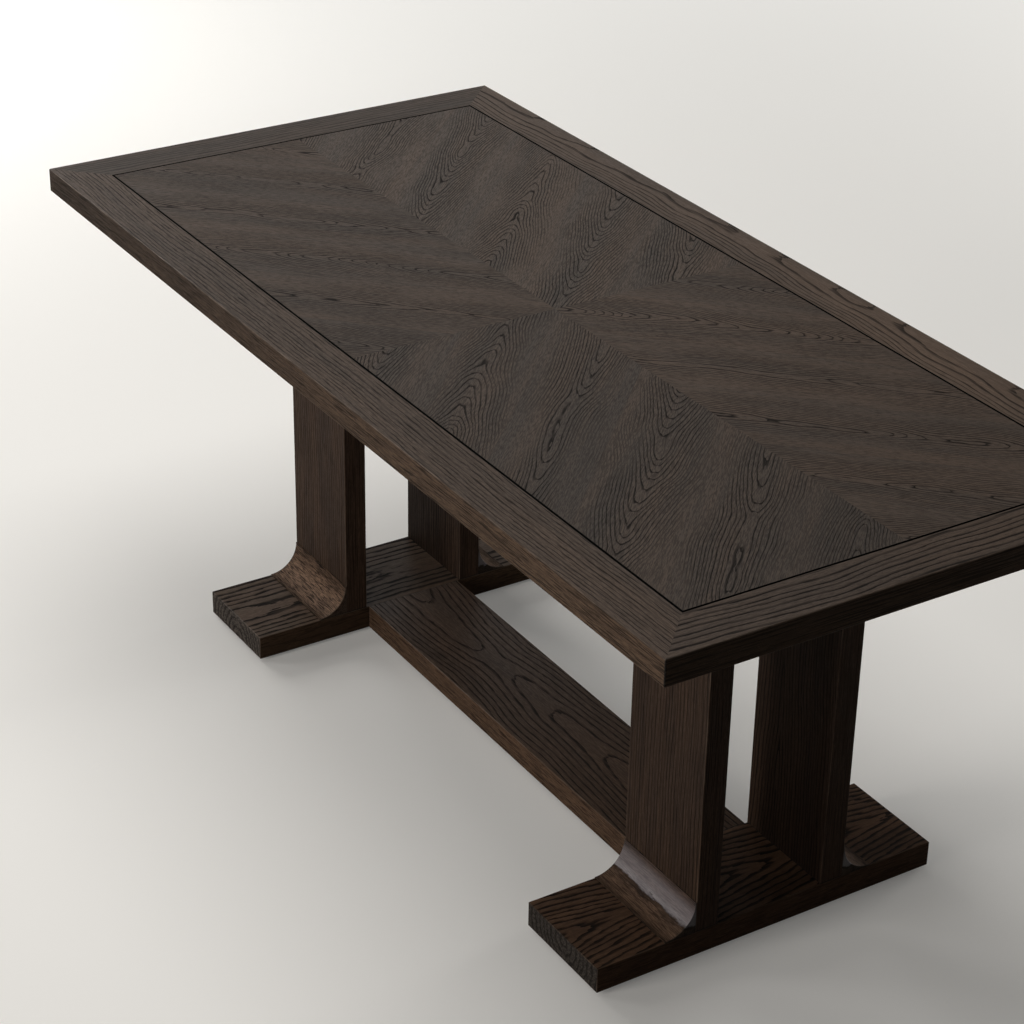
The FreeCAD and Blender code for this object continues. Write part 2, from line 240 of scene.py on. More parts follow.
# Levels of noise between which the features come in
BREAK_SPAN = (0.34, 0.56)
PORE_SPAN = (0.42, 0.60)
FLECK_SPAN = (0.48, 0.60)
TONE_SPAN = (0.30, 0.70)
FIBRE_SPAN = (0.40, 0.70)
SPECKLE_SPAN = (0.32, 0.68)
PATCH_SPAN = (0.35, 0.65)

YEAR_DRIFT = 0.23                      # how fast the width of the years changes from year to year
SLOPE_GAIN, SLOPE_LEAST = 2.4, 0.22    # narrow the spring growth where the rings lie flat in the face
SPRING_RISE, SPRING_FALL = 0.05, 0.55  # shares of a year, and of the spring growth, where it is darkest
SPRING_LATE = 0.88                     # darkness at the end of that
FLAME_RAGGED = 0.6                     # unevenness of a flame's sides, as a share of its half width
FLAME_SIDES = (1.35, 0.8)              # where its lines end, in half widths
FLAME_FADE = (1.2, 0.3)                # where they are palest and where they are darkest
FLAME_PALE = 0.50                      # darkness where they are palest


@dataclass
class Figure:
    """How one board was sawn. Lengths in metres, from the middle of the board."""

    seed: float = 1.0
    pith_across: float = 0.25  # pith line, across the board
    pith_depth: float = 0.12   # pith line, below the middle of the board
    climb: float = 0.0         # how fast the rings run out of the face along the board
    saddle: float = None       # place along the board that the run-out turns round at
    flame: float = 0.0         # half width of the flame, where the rings show only near the pith line
    ring: float = 0.0065       # width of one year's growth
    uneven: float = 1.6        # how far the years differ in width
    sway: float = 0.006        # wander of the pith line across the board
    sway_length: float = 0.30
    swell: float = 0.004       # wander of the pith line in depth
    swell_length: float = 0.16
    ragged: float = 0.0007     # unevenness of each ring
    line: float = 0.85         # darkness of the spring growth
    width: float = 0.42        # share of a year that it takes
    side: float = 0.25         # how much of it shows on the board's narrow sides
    side_flecks: float = 0.30  # darkness of the dashes that show there instead
    dash: float = 0.45         # how far the dark lines break into dashes
    stroke: float = 0.030      # length of a dash
    pores: float = 0.30        # darkness of the pores between the lines
    pore_length: float = 0.012
    flecks: float = 0.25       # darkness of the long dashes between the lines
    fleck: float = 0.0018      # width of such a dash
    fibre: float = 0.22        # contrast of the fine fibres
    bands: float = 0.22        # contrast of the broad bands of tone


def growth(finish, along, across, depth, figure, shift=0.0, climb=None, sides=0.0):
    """Spring-growth darkness, pores, fibres and broad tone of one board, each from 0 to 1."""
    point = finish.vector(along, across, depth + shift)
    sway_size = (figure.sway_length, SWAY_WIDTH, SWAY_WIDTH)
    sway = finish.wander(point, sway_size, figure.seed, figure.sway)
    swell_size = (figure.swell_length, SWELL_WIDTH, SWAY_WIDTH)
    swell = finish.wander(point, swell_size, figure.seed + 0.37, figure.swell)
    ragged = finish.wander(point, RAGGED_SIZE, figure.seed + 0.71, figure.ragged, 2.0)
    side = across + sway - figure.pith_across
    down = depth + swell + figure.pith_depth
    run = along if figure.saddle is None else -abs(along - figure.saddle)
    climb = figure.climb if climb is None else climb
    from_pith = (side * side + down * down) ** 0.5
    radius = from_pith + ragged + run * climb
    if figure.climb:
        radius = radius + swell
    year = radius * (1.0 / figure.ring)
    drift = finish.vector(year * YEAR_DRIFT, figure.seed, 0.0)
    year = year + finish.noise(drift, (1.0, 1.0, 1.0), figure.seed, 1.0) * figure.uneven
    slope = ((side / from_pith) ** 2.0 + climb * climb) ** 0.5
    phase = year.math("FRACT", year) / (slope * SLOPE_GAIN).least(1.0).most(SLOPE_LEAST)
    spring = phase.ramp([(0.0, 0.0), (SPRING_RISE, 1.0), (SPRING_FALL * figure.width, SPRING_LATE),
                         (figure.width, 0.0), (1.0, 0.0)])
    break_size = (figure.stroke, BREAK_WIDTH, BREAK_WIDTH)
    breaks = finish.noise(point, break_size, figure.seed + 1.3, 2.0).rise(*BREAK_SPAN)
    spring = spring * (breaks * figure.dash + (1.0 - figure.dash)) * (1.0 - sides * (1.0 - figure.side))
    if figure.flame:
        edge = finish.wander(point, FLAME_SIZE, figure.seed + 5.9, figure.flame * FLAME_RAGGED)
        reach = (abs(side) + edge) / figure.flame
        spring = spring * reach.rise(*FLAME_SIDES)
        spring = spring * (reach.rise(*FLAME_FADE) * (1.0 - FLAME_PALE) + FLAME_PALE)
    pore_size = (figure.pore_length, PORE_WIDTH, PORE_WIDTH)
    pores = finish.noise(point, pore_size, figure.seed + 2.1, 2.0, 0.6).rise(*PORE_SPAN) * figure.pores
    if figure.flecks:
        fleck_size = (figure.stroke, figure.fleck, figure.fleck)
        flecks = finish.noise(point, fleck_size, figure.seed + 7.7, 2.0).rise(*FLECK_SPAN)
        pores = pores.most(flecks * (sides * figure.side_flecks + figure.flecks))
    fibre = finish.noise(point, FIBRE_SIZE, figure.seed + 3.3, 3.0, 0.6)
    tone = finish.noise(point, TONE_SIZE, figure.seed + 4.7, 2.0)
    return spring, pores, fibre, tone


ARRIS_CORE = 0.2   # share of the reach over which an edge carries its full wear and painted highlight


def arris(gaps, reach):
    """1 where the two smallest gaps to a board's faces meet in an edge, falling to 0 at the reach."""
    first, second, *third = gaps
    middle = first.most(second)
    if third:
        middle = first.least(second).most(middle.least(third[0]))
    return middle.rise(reach, reach * ARRIS_CORE)


@dataclass
class Stain:
    """How one group of boards took the stain, as tints of the settings' colours."""

    colour: str                    # name of the setting that the tints are of
    warm: tuple                    # the warmer patches
    late: tuple = (1.0, 1.0, 1.0)  # the summer growth
    grain: float = 1.0             # lightness of the spring growth and the pores
    end: float = 1.0               # lightness of the end grain
    rough: float = 0.50
    coat: float = 0.0
    coat_rough: float = 0.42
    wax_sheen: float = 0.0              # cover of the painted satin sheen on the rubbed wax film, where the wax lies
    edge: float = 0.0018           # reach of the wear and painted highlight along the edges

    def tint(self, part):
        own = getattr(table_settings(), self.colour)
        return (*(amount * channel for amount, channel in zip(part, own)), 1.0)


def table_settings():
    return bpy.context.scene.table_settings


def scaled(colour, lightness=1.0):
    """A colour made lighter or darker, with its alpha."""
    return (*(part * lightness for part in colour), 1.0)


SPECULAR = 0.04      # open-grained oak hardly shines by itself
COAT_IOR = 1.45
TONE_SHARE = 0.7     # share of the broad tone in the warm patches
OWN_WARMTH = 0.5     # what is left of them where a board has its own warmth
WEAR_HIGHLIGHT_GRAIN = 0.6     # share of the dark grain that the worn edges with their painted highlight cover
SPECKLE_DARK, SPECKLE_LIGHT = 0.40, 1.60
GRAIN_ROUGH, FIBRE_ROUGH = 0.22, 0.10
FIBRE_RELIEF = 0.18  # height of the fibres, as a share of the pores' depth
RELIEF_STRENGTH, RELIEF_DEPTH = 0.55, 0.00045


def oak(stain, fields, figure, wear_and_highlight=None, warm=None, polish=None, line=None, dim=None, end=None, place=None):
    """Smoked oak with open pores, ended in one shader. The wax lies on the summer growth, not in the pores."""
    spring, pores, fibre, tone = fields
    finish = tone.finish
    mellow = tone.rise(*TONE_SPAN) * TONE_SHARE + fibre.rise(*FIBRE_SPAN) * (1.0 - TONE_SHARE)
    if warm is not None:
        mellow = mellow * OWN_WARMTH + warm
    colours = table_settings()
    colour = finish.mix(mellow, stain.tint(stain.late), stain.tint(stain.warm))
    shade = (fibre - 0.5) * (2.0 * figure.fibre) + (tone - 0.5) * (2.0 * figure.bands) + 1.0
    if dim is not None:
        shade = shade * dim
    colour = finish.mix(1.0, colour, finish.vector(shade, shade, shade), "MULTIPLY")
    dark = (spring * figure.line).most(pores)
    # Lighter edges: partly rubbed-through oak, partly a painted highlight on the arris.
    if wear_and_highlight is not None:
        colour = finish.mix(wear_and_highlight, colour, scaled(colours.wear_highlight_colour))
        dark = dark * (1.0 - wear_and_highlight * WEAR_HIGHLIGHT_GRAIN)
    if end is not None:
        speckle = finish.noise(finish.vector(*place), SPECKLE_SIZE, figure.seed + 8.3, 3.0).rise(*SPECKLE_SPAN)
        shades = (scaled(colours.end_colour, stain.end * part) for part in (SPECKLE_DARK, SPECKLE_LIGHT))
        colour = finish.mix(end * (1.0 - wear_and_highlight), colour, finish.mix(speckle, *shades))
    relief = dark
    if line is not None:
        dark = dark.most(line)
    colour = finish.mix(dark, colour, scaled(colours.grain_colour, stain.grain))
    # Painted satin sheen: a lighter colour laid over the wax film.
    if polish is not None and stain.wax_sheen:
        colour = finish.mix(polish * stain.wax_sheen, colour, scaled(colours.wax_sheen_colour))
    if line is not None:
        colour = finish.mix(line, colour, scaled(colours.groove_colour))
    rough = dark * GRAIN_ROUGH + (fibre - 0.5) * FIBRE_ROUGH + stain.rough
    wax = (1.0 - dark) * (stain.coat if polish is None else polish)
    height = 1.0 - relief - (1.0 - fibre) * FIBRE_RELIEF
    relief_values = {"Strength": RELIEF_STRENGTH, "Distance": RELIEF_DEPTH, "Height": height}
    bump = finish.node("ShaderNodeBump", None, relief_values)
    constants = {"Specular IOR Level": SPECULAR, "Coat Roughness": stain.coat_rough, "Coat IOR": COAT_IOR}
    return finish.surface(constants, Base_Color=colour, Roughness=rough, Coat_Weight=wax, Normal=bump)


TOP_STAIN = Stain("field_colour", (1.64, 1.38, 1.16), coat=0.35)
RAIL_STAIN = Stain("border_colour", (1.53, 1.43, 1.31), edge=0.0020)
BASE_STAIN = Stain("base_colour", (1.65, 1.59, 1.50), grain=0.72)
FOOT_STAINS = {
    "left": replace(BASE_STAIN, late=(1.82, 1.90, 1.80), end=2.25),
    "right": replace(BASE_STAIN, late=(1.58, 1.46, 1.34), warm=(2.18, 2.00, 1.82), end=1.3),
}
POST_STAIN = replace(BASE_STAIN, late=(0.66, 0.675, 0.735), warm=(0.97, 0.94, 0.93))
COVE_STAIN = replace(BASE_STAIN, late=(1.09, 1.07, 1.06), warm=(2.43, 2.43, 2.41), coat_rough=0.30,
                     wax_sheen=0.75)
BARE_COVE_STAIN = replace(COVE_STAIN, late=(1.30, 1.28, 1.28), warm=(3.30, 3.40, 3.45))


# Depths under a board's faces, in metres, between which its narrow sides and its ends come in
SIDE_SPAN = (0.0022, 0.0010)
END_SPAN = (0.0020, 0.0008)
END_LIFT = 0.2                         # share of the spring growth that pales on the ends
WEAR_HIGHLIGHT_PATCHY, WEAR_HIGHLIGHT_LEAST = 0.65, 0.25   # how patchy the worn edges and their painted highlight are, and how strong at the least


def board(name, node, grain, figure, stain, ends=False, warm=None, polish=None, line=None, dim=None, wear_and_highlight=None):
    """A straight board: the letters of grain are the axes along it, across its face and through it.
    Warm, polish, line, dim and the wear with its painted highlight each make a field from the finish, the place
    and a patchy field."""
    finish = Finish(name)
    place = finish.place()
    low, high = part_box(node)
    middle, half = (low + high) / 2, (high - low) / 2
    axes = ["xyz".index(axis) for axis in grain]
    local = [place[axis] - middle[axis] for axis in axes]
    gaps = [half[axis] - abs(distance) for axis, distance in zip(axes, local)]
    sides = gaps[1].rise(*SIDE_SPAN)
    spring, pores, fibre, tone = growth(finish, *local, figure, sides=sides)
    end = gaps[0].rise(*END_SPAN)
    spring = spring * (1.0 - end * END_LIFT)
    patchy = finish.noise(finish.vector(*place), PATCH_SIZE, figure.seed + 6.1, 3.0).rise(*PATCH_SPAN)
    edge_wear_and_highlight = wear_and_highlight(finish, place, patchy) if wear_and_highlight else arris(gaps if ends else gaps[1:], stain.edge)
    edge_wear_and_highlight = edge_wear_and_highlight * (patchy * WEAR_HIGHLIGHT_PATCHY + WEAR_HIGHLIGHT_LEAST)
    extra = [make(finish, place, patchy) if make else None for make in (warm, polish, line, dim)]
    return oak(stain, (spring, pores, fibre, tone), figure, edge_wear_and_highlight, *extra, end, place)


def on_top(place):
    """1 on the table's upper face."""
    return place[2].rise(TOP_FACE - 0.0016, TOP_FACE - 0.0006)


def under_top(place):
    """1 on the edge and the underside of a rail, with a soft start on its arris."""
    return place[2].rise(TOP_FACE - 0.0008, TOP_FACE - 0.0030)


def on_foot(place):
    """1 on the upper faces of the feet and the stretcher."""
    return place[2].rise(FOOT_FACE - 0.0015, FOOT_FACE - 0.0005)


def on_left(place):
    """1 on the left trestle and 0 on the right one."""
    return place[0].rise(0.3, -0.3)


def trestle_side(place, begin, full):
    """1 on the sides of a trestle's boards that face the table's ends and middle, between two depths."""
    return abs(abs(place[0]) - TRESTLE_X).rise(POST_HALF - begin, POST_HALF - full)


# The groove's two edges along each axis, from the middle of the table
GROOVE_X = (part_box("veneer_front_right")[1].x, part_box("panel_core")[1].x)
GROOVE_Y = (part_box("veneer_back_right")[1].y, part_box("panel_core")[1].y)
GROOVE_FADE, GROOVE_FULL = 0.0007, 0.0004   # how far its black goes past its edges, and how far in full

FIRST_LEAF = -5.0    # number of the leaf nearest the end of a quarter
LEAF_SLIP = 0.31     # how far the pattern moves on from leaf to leaf, in metres
CLIMB_RANGE = 0.5    # run-out from its lowest to its highest, which a ramp holds as 0 to 1
STOP_LEAD = 0.25     # how far a ramp's stop stands before its leaf, in leaves
VENEER_WARMTH = 0.1  # share of the broad tone in the warmth
SEAM_WIDTH, SEAM_DARK = 0.0012, 0.35

# Each quarter of the veneer: seed, run-out of the rings in each leaf from the first on, warmth and lightness
LEAVES = {
    "back_left": (11.0, (0.10, -0.12, 0.05, 0.16, -0.17, 0.16, 0.11, -0.12), 0.0, 1.04),
    "back_right": (12.0, (0.12, 0.05, 0.06, -0.05, 0.03, -0.17, 0.15, 0.10), 0.25, 0.93),
    "front_left": (13.0, (-0.10, 0.12, 0.03, -0.04, 0.16, -0.07, -0.14, 0.10), 0.20, 0.87),
    "front_right": (14.0, (0.12, -0.10, 0.04, 0.16, 0.05, -0.17, 0.12, 0.10), 0.05, 0.87),
}


class TableSettings(bpy.types.PropertyGroup):
    """Sizes of the veneer pattern and the levellers, and the colours."""

    leaf_width: bpy.props.FloatProperty(
        name="Leaf Width", description="Width of one veneer leaf", default=0.147, unit="LENGTH")
    back_shift: bpy.props.FloatProperty(
        name="Back Shift", description="Middle of the first leaf of the back quarters", default=0.005,
        unit="LENGTH")
    front_shift: bpy.props.FloatProperty(
        name="Front Shift", description="Middle of the first leaf of the front quarters", default=0.055,
        unit="LENGTH")
    thread_pitch: bpy.props.FloatProperty(
        name="Thread Pitch", description="Pitch of the leveller stems' thread", default=0.00125, unit="LENGTH")
    thread_depth: bpy.props.FloatProperty(
        name="Thread Depth", description="Depth of the leveller stems' thread", default=0.0006, unit="LENGTH")
    stem_radius: bpy.props.FloatProperty(
        name="Stem Radius", description="Radius over the thread of a leveller stem", default=0.004, unit="LENGTH")
    button_radius: bpy.props.FloatProperty(
        name="Button Radius", description="Radius of the button that turns in the pad", default=0.00495,
        unit="LENGTH")
    button_gap: bpy.props.FloatProperty(
        name="Button Gap", description="Play between the button and the pad under it", default=0.00005,
        unit="LENGTH")
    button_height: bpy.props.FloatProperty(
        name="Button Height", description="Height of the button that turns in the pad", default=0.0029,
        unit="LENGTH")
    collar_flats: bpy.props.FloatProperty(
        name="Collar Flats", description="Width across the flats of the stem's collar", default=0.013,
        unit="LENGTH")
    collar_height: bpy.props.FloatProperty(
        name="Collar Height", description="Height of the stem's collar", default=0.005, unit="LENGTH")
    collar_gap: bpy.props.FloatProperty(
        name="Collar Gap", description="Gap between the button and the collar", default=0.0014, unit="LENGTH")
    field_colour: bpy.props.FloatVectorProperty(
        name="Field Colour", description="Oak of the veneered field", default=(0.0525, 0.0388, 0.0294),
        subtype="COLOR")
    border_colour: bpy.props.FloatVectorProperty(
        name="Border Colour", description="Oak of the rails", default=(0.0630, 0.0430, 0.0305), subtype="COLOR")
    base_colour: bpy.props.FloatVectorProperty(
        name="Base Colour", description="Oak of the trestles and stretcher", default=(0.0680, 0.0415, 0.0270),
        subtype="COLOR")
    grain_colour: bpy.props.FloatVectorProperty(
        name="Grain Colour", description="Dark lines and pores of the oak", default=(0.0060, 0.0050, 0.0043),
        subtype="COLOR")
    # Colour of the worn edges and of the painted highlight along them.
    wear_highlight_colour: bpy.props.FloatVectorProperty(
        name="Worn Colour", description="Oak along rubbed edges", default=(0.130, 0.095, 0.071), subtype="COLOR")
    end_colour: bpy.props.FloatVectorProperty(
        name="End Colour", description="End grain of the oak", default=(0.0300, 0.0245, 0.0205), subtype="COLOR")
    # Painted satin sheen of the wax film on the coves.
    wax_sheen_colour: bpy.props.FloatVectorProperty(
        name="Wax Colour", description="Film of wax rubbed into the coves", default=(0.143, 0.125, 0.134),
        subtype="COLOR")
    groove_colour: bpy.props.FloatVectorProperty(
        name="Groove Colour", description="Line round the field", default=(0.0028, 0.0026, 0.0024),
        subtype="COLOR")
    floor_colour: bpy.props.FloatVectorProperty(
        name="Floor Colour", description="Studio floor", default=(0.80, 0.79, 0.76), subtype="COLOR")


# Darkest and lightest shade of the plain materials
CORE_SHADES = ((0.0035, 0.0032, 0.003), (0.009, 0.008, 0.007))
ZINC_SHADES = ((0.42, 0.43, 0.45), (0.60, 0.60, 0.60))
NYLON_SHADES = ((0.010, 0.010, 0.010), (0.022, 0.022, 0.022))
BEECH_SHADES = ((0.36, 0.22, 0.12), (0.50, 0.33, 0.19))


def clouded(name, shades, size, seed, detail=3.0):
    """A plain material that drifts between two shades. Gives its finish, the drift and the colour."""
    finish = Finish(name)
    cloud = finish.noise(finish.vector(*finish.place()), size, seed, detail)
    return finish, cloud, finish.mix(cloud, *(scaled(shade) for shade in shades))


class FinishTask:
    """What the finishing operators share."""

    bl_options = {"REGISTER", "UNDO"}

    @property
    def settings(self):
        return table_settings()


class TABLE_OT_border(FinishTask, bpy.types.Operator):
    """Finish the four mitred rails round the top"""

    bl_idname = "table.border"
    bl_label = "Border Rails"

    def execute(self, context):
        figures = {
            "long_rail_front": ("xyz", Figure(
                1.0, -0.30, 0.10, ring=0.0066, uneven=2.6, dash=0.60, stroke=0.045, line=0.92, width=0.42,
                ragged=0.0012, pores=0.40, flecks=0.40, fleck=0.0014, side_flecks=0.40)),
            "long_rail_back": ("xyz", Figure(
                2.0, 0.03, 0.012, climb=0.035, saddle=-0.1, ring=0.0085, line=0.90, stroke=0.08, sway=0.010)),
            "end_rail_left": ("yxz", Figure(
                3.0, -0.22, 0.10, ring=0.0080, line=0.7, dash=0.6, stroke=0.06, flecks=0.3)),
            "end_rail_right": ("yxz", Figure(
                4.0, 0.30, 0.09, ring=0.0125, uneven=3.4, width=0.46, dash=0.35, stroke=0.12, line=1.0,
                sway=0.014, sway_length=0.25, ragged=0.0014, pores=0.40, side_flecks=0.50)),
        }
        for node, (grain, figure) in figures.items():
            dress(node, self.rail(node, grain, figure))
        return {"FINISHED"}

    def rail(self, node, grain, figure):
        """One rail. Its tints change a little from end to end, and on its outer edge."""
        behind = 1.0 if node == "long_rail_back" else 0.0
        axis, inner = (1, GROOVE_Y[1]) if node.startswith("long") else (0, GROOVE_X[1])
        # Lightness of the top face, and the painted light and shade on the outer edge: lighter to the right,
        # darker to the left
        ends = {"end_rail_left": (0.68, 0.0, 0.12), "end_rail_right": (0.88, 0.0, 0.0)}
        lightness, lift, fall = ends.get(node, (1.0, 0.18, 0.71))

        def warm_edge(finish, place, patchy):
            edge = under_top(place) * (patchy * 0.3 + place[0].rise(-0.95, 0.25) * 0.20 + 0.75)
            return edge + place[0].rise(-0.3, 0.9) * 0.35 + behind * 0.15

        def wax(finish, place, patchy):
            return on_top(place) * TOP_STAIN.coat

        def groove_wall(finish, place, patchy):
            return abs(place[axis]).rise(inner + GROOVE_FADE, inner + GROOVE_FULL)

        # Painted light and shade on the outer edge, lighter to the right and darker to the left.
        def dim(finish, place, patchy):
            edge = under_top(place) * (lift - place[0].rise(0.9, -0.9) * fall)
            return lightness + edge + place[0].rise(-0.4, 0.6) * (behind * 0.2)

        return board(f"oak_{node}", node, grain, figure, RAIL_STAIN, False, warm_edge, wax, groove_wall, dim)


class TABLE_OT_field(FinishTask, bpy.types.Operator):
    """Finish the veneered field, its core in the groove and its backing"""

    bl_idname = "table.field"
    bl_label = "Veneered Field"

    def execute(self, context):
        for side in SIDES:
            for face in FACES:
                dress(f"veneer_{face}_{side}", self.veneer(side, face))
        core, _, colour = clouded("groove_black", CORE_SHADES, (0.004, 0.004, 0.004), 8.0, 2.0)
        dress("panel_core", core.surface({"Roughness": 0.8, "Specular IOR Level": 0.1}, Base_Color=colour))
        figure = Figure(9.0, 0.2, 0.3, ring=0.008, line=0.5, swell=0.02, swell_length=0.5)
        dress("panel_backing", board("oak_backing", "panel_backing", "xyz", figure, BASE_STAIN))
        return {"FINISHED"}

    def veneer(self, side, face):
        """One quarter: leaves with 45 degree seams, each with its flame, slipped along from leaf to leaf."""
        settings = self.settings
        finish = Finish(f"oak_veneer_{face}_{side}")
        place = finish.place()
        x_sign = 1.0 if side == "right" else -1.0
        y_sign = 1.0 if face == "back" else -1.0
        out = place[0] * x_sign
        up = place[1] * y_sign
        shift = settings.back_shift if face == "back" else settings.front_shift
        offset = (up - out) * ROOT_HALF - shift
        leaf = offset / settings.leaf_width + 0.5
        number = leaf.math("FLOOR", leaf)
        across = (offset - number * settings.leaf_width) * x_sign
        along = (up + out) * (-y_sign * ROOT_HALF)
        seed, climbs, warmth, lightness = LEAVES[f"{face}_{side}"]
        figure = Figure(seed, 0.0, 0.009, climb=0.17, flame=0.057, ring=0.0046, sway=0.008, sway_length=0.24,
                        swell=0.0045, swell_length=0.14, ragged=0.0006, line=1.0, dash=0.30, pores=0.46,
                        pore_length=0.013, flecks=0.0, fibre=0.30, bands=0.18)
        count = len(climbs)
        stops = [(max(index - STOP_LEAD, 0.0) / count, climb / CLIMB_RANGE + 0.5)
                 for index, climb in enumerate(climbs)]
        level = ((number - FIRST_LEAF) / count).ramp(stops, "CONSTANT")
        climb = (level - 0.5) * CLIMB_RANGE
        spring, *others, tone = growth(finish, along, across, 0.0, figure, number * LEAF_SLIP, climb)
        half_leaf = settings.leaf_width / 2
        seam = abs(across).rise(half_leaf - SEAM_WIDTH, half_leaf)
        fields = (spring.most(seam * SEAM_DARK), *others, tone)
        outside = (out - GROOVE_X[0]).most(up - GROOVE_Y[0])
        groove = outside.rise(-GROOVE_FADE, -GROOVE_FULL)
        warm = tone * VENEER_WARMTH + warmth
        return oak(TOP_STAIN, fields, figure, warm=warm, line=groove, dim=lightness)


class TABLE_OT_posts(FinishTask, bpy.types.Operator):
    """Finish the four posts"""

    bl_idname = "table.posts"
    bl_label = "Posts"

    def execute(self, context):
        post = Figure(ring=0.0066, uneven=2.0, line=0.90, dash=0.60, stroke=0.100, pores=0.36, flecks=0.60,
                      fleck=0.0012, side_flecks=0.1, ragged=0.0008)
        figures = {
            "right_front": replace(post, seed=21.0, pith_across=0.20, pith_depth=0.10),
            "right_back": replace(post, seed=22.0, pith_across=-0.03, pith_depth=0.02, climb=0.05, dash=0.35,
                                  flecks=0.45),
            "left_front": replace(post, seed=23.0, pith_across=-0.18, pith_depth=0.11),
            "left_back": replace(post, seed=24.0, pith_across=0.16, pith_depth=0.08),
        }

        # Painted light: the posts' sides that face the table's ends and middle are lighter, and the left trestle
        # a little lighter.
        def dim(finish, place, patchy):
            return trestle_side(place, 0.0025, 0.0008) * 0.6 + on_left(place) * 0.1 + 1.0

        for corner, figure in figures.items():
            node = f"post_{corner}"
            dress(node, board(f"oak_{node}", node, "zxy", figure, POST_STAIN, dim=dim))
        return {"FINISHED"}


class TABLE_OT_feet(FinishTask, bpy.types.Operator):
    """Finish the two feet"""

    bl_idname = "table.feet"
    bl_label = "Feet"

    def execute(self, context):
        foot = Figure(ring=0.0115, uneven=2.0, width=0.54, line=1.0, dash=0.15, pores=0.35, ragged=0.0024,
                      swell=0.003)
        figures = {
            "left": replace(foot, seed=26.0, pith_across=0.006, pith_depth=0.020, climb=0.02, ring=0.0125,
                            swell=0.0012),
            "right": replace(foot, seed=25.0, pith_across=0.004, pith_depth=-0.013, climb=0.17),
        }

        def wax(finish, place, patchy):
            return on_foot(place) * on_left(place) * 0.35

        # Painted shade on the left foot between its posts, under the table.
        def dim(finish, place, patchy):
            shaded_between_posts = abs(place[1]).rise(0.100, 0.085)
            return 1.0 - shaded_between_posts * on_left(place) * 0.25

        for side, figure in figures.items():
            node = f"foot_{side}"
            stain = FOOT_STAINS[side]
            dress(node, board(f"oak_{node}", node, "yxz", figure, stain, ends=True, polish=wax, dim=dim))
        return {"FINISHED"}


class TABLE_OT_stretcher(FinishTask, bpy.types.Operator):
    """Finish the stretcher between the feet"""

    bl_idname = "table.stretcher"
    bl_label = "Stretcher"

    def execute(self, context):
        figure = Figure(27.0, 0.006, 0.012, climb=0.06, saddle=-0.17, ring=0.0095, line=1.0, dash=0.40,
                        swell=0.0025, pores=0.40, flecks=0.45, fleck=0.0012, side_flecks=0.35)

        def warm_side(finish, place, patchy):
            side = abs(place[1]).rise(STRETCHER_HALF - 0.0030, STRETCHER_HALF - 0.0005)
            return side * (patchy * 0.25 + 1.05)

        def wax(finish, place, patchy):
            return on_foot(place) * place[0].rise(0.5, -0.5) * 0.6

        dress("stretcher", board("oak_stretcher", "stretcher", "xyz", figure, BASE_STAIN, warm=warm_side,
                                 polish=wax))
        return {"FINISHED"}


class TABLE_OT_bearers(FinishTask, bpy.types.Operator):
    """Finish the two bearers under the top"""

    bl_idname = "table.bearers"
    bl_label = "Bearers"

    def execute(self, context):
        for index, side in enumerate(SIDES):
            node = f"bearer_{side}"
            figure = Figure(28.0 + index, 0.2, 0.1, ring=0.008)
            dress(node, board(f"oak_{node}", node, "yxz", figure, BASE_STAIN))
        return {"FINISHED"}


# Heights on a cove between which something changes, in metres
COVE_FOOT = (0.0500, 0.0475)    # painted shadow at the joint with the foot
COVE_WARM = (0.096, 0.062)      # warmer downwards
COVE_SHADE = (0.070, 0.098)     # painted shade, darker upwards
FILM_EDGE = (0.0700, 0.0725)    # lower edge of the wax film
SHEEN_FADE = (0.0985, 0.078)     # the film and its painted sheen fade out upwards
SCRAPE_LOW = (0.0650, 0.0690)   # lower edge of the dark line along the film's edge
SCRAPE_HIGH = (0.0738, 0.0712)  # upper edge of that line
FILM_RAGGED, FILM_RAGGED_SIZE = 0.020, (0.040, 0.014, 0.014)
BARE_COVE = "left_front"  # the one without a film


class TABLE_OT_coves(FinishTask, bpy.types.Operator):
    """Finish the hollow blocks between the posts and the feet"""

    bl_idname = "table.coves"
    bl_label = "Coves"

    def execute(self, context):
        def warm_cove(finish, place, patchy):
            return patchy * 0.3 + place[2].rise(*COVE_WARM) * 0.7

        def height(finish, place):
            ragged = finish.noise(finish.vector(*place), FILM_RAGGED_SIZE, 38.0, 5.0, 0.65)
            return place[2] + ragged * FILM_RAGGED

        # Where the wax film lies, with its painted satin sheen fading out upwards.
        def satin(finish, place, patchy):
            return height(finish, place).rise(*FILM_EDGE) * (place[2].rise(*SHEEN_FADE) * 0.84 + 0.16)

        def scraped(finish, place, patchy):
            level = height(finish, place)
            return level.rise(*SCRAPE_LOW) * level.rise(*SCRAPE_HIGH) * (patchy * 0.38 + 0.24)

        # Painted shade: a dark line at the joint with the foot, and darker upwards.
        def dim(finish, place, patchy):
            return 1.0 - place[2].rise(*COVE_FOOT) * 0.7 - place[2].rise(*COVE_SHADE) * 0.28

        # Painted highlight along the cove's edges that face the table's ends and middle.
        def edge(finish, place, patchy):
            return trestle_side(place, 0.0018, 0.0006)

        waxed = Figure(0.0, 0.2, 0.2, ring=0.0060, line=0.30, dash=0.9, stroke=0.026, pores=0.50, flecks=0.70,
                       fleck=0.0014)
        bare = replace(waxed, line=0.40, stroke=0.022, pores=0.55, flecks=0.85)
        for index, corner in enumerate(CORNERS):
            node = f"cove_{corner}"
            figure, stain, film = waxed, COVE_STAIN, (satin, scraped)
            if corner == BARE_COVE:
                figure, stain, film = bare, BARE_COVE_STAIN, (None, None)
            figure = replace(figure, seed=31.0 + index)
            dress(node, board(f"oak_{node}", node, "xyz", figure, stain, False, warm_cove, *film, dim, edge))
        return {"FINISHED"}


